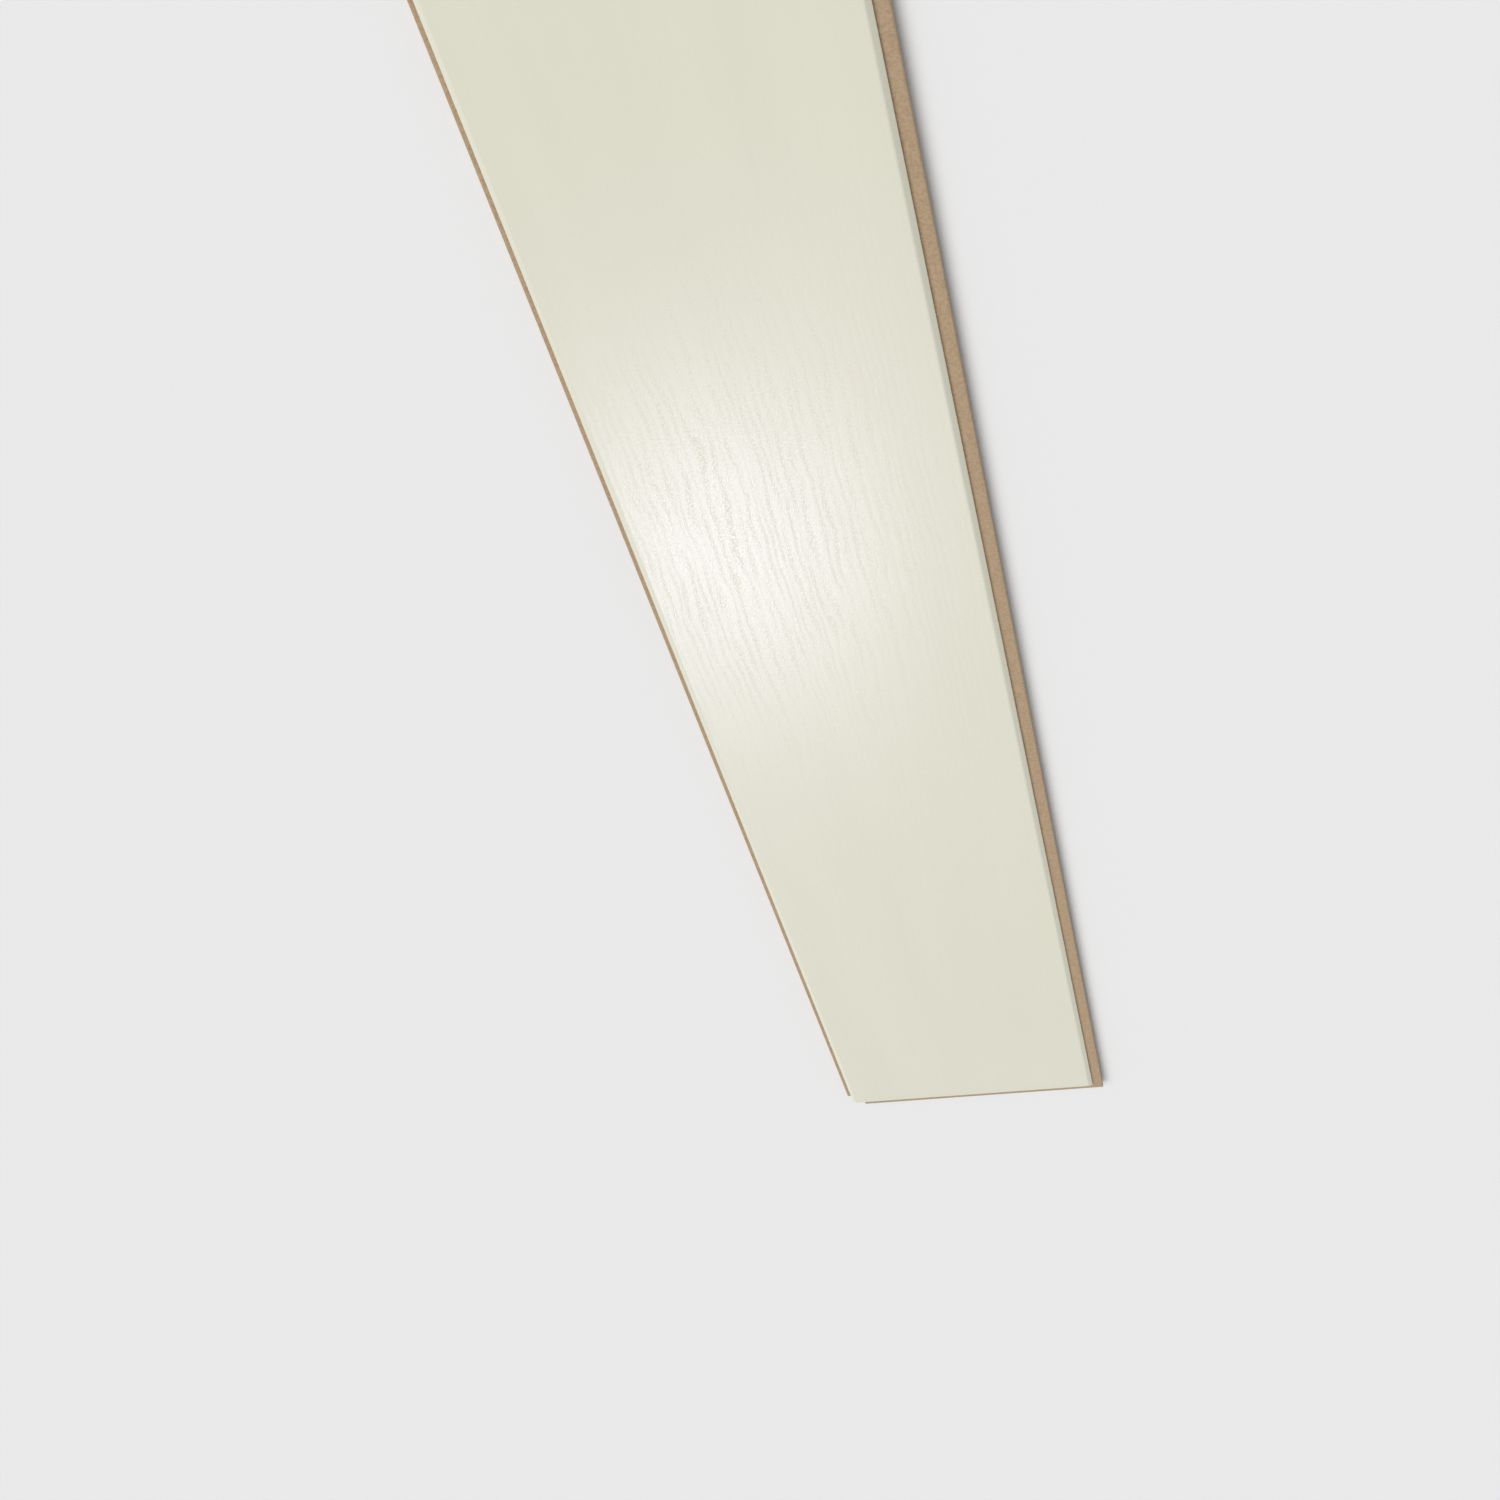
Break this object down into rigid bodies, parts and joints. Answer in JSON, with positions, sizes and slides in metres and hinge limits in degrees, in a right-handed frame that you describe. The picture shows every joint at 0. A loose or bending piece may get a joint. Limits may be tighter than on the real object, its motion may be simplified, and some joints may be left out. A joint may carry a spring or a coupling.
{
  "type": "wall panel",
  "caption": "Long flat cladding panel with a bevelled decor face, and a tongue and groove round its edges that joins it to the next panels on a wall or ceiling.",
  "frame": {"origin": "centre of the covered area on the back face, the side that lies on the battens", "axes": "+X along the panel to the head tongue, +Y across it to the long tongue, +Z out of the decor face"},
  "size_m": [2.6077, 0.2128, 0.012],
  "materials": {
    "decor_board": "satin cream decor with a fine embossed wood grain"
  },
  "bodies": {
    "root": {"wall_panel": "decor_board"}
  },
  "joints": []
}
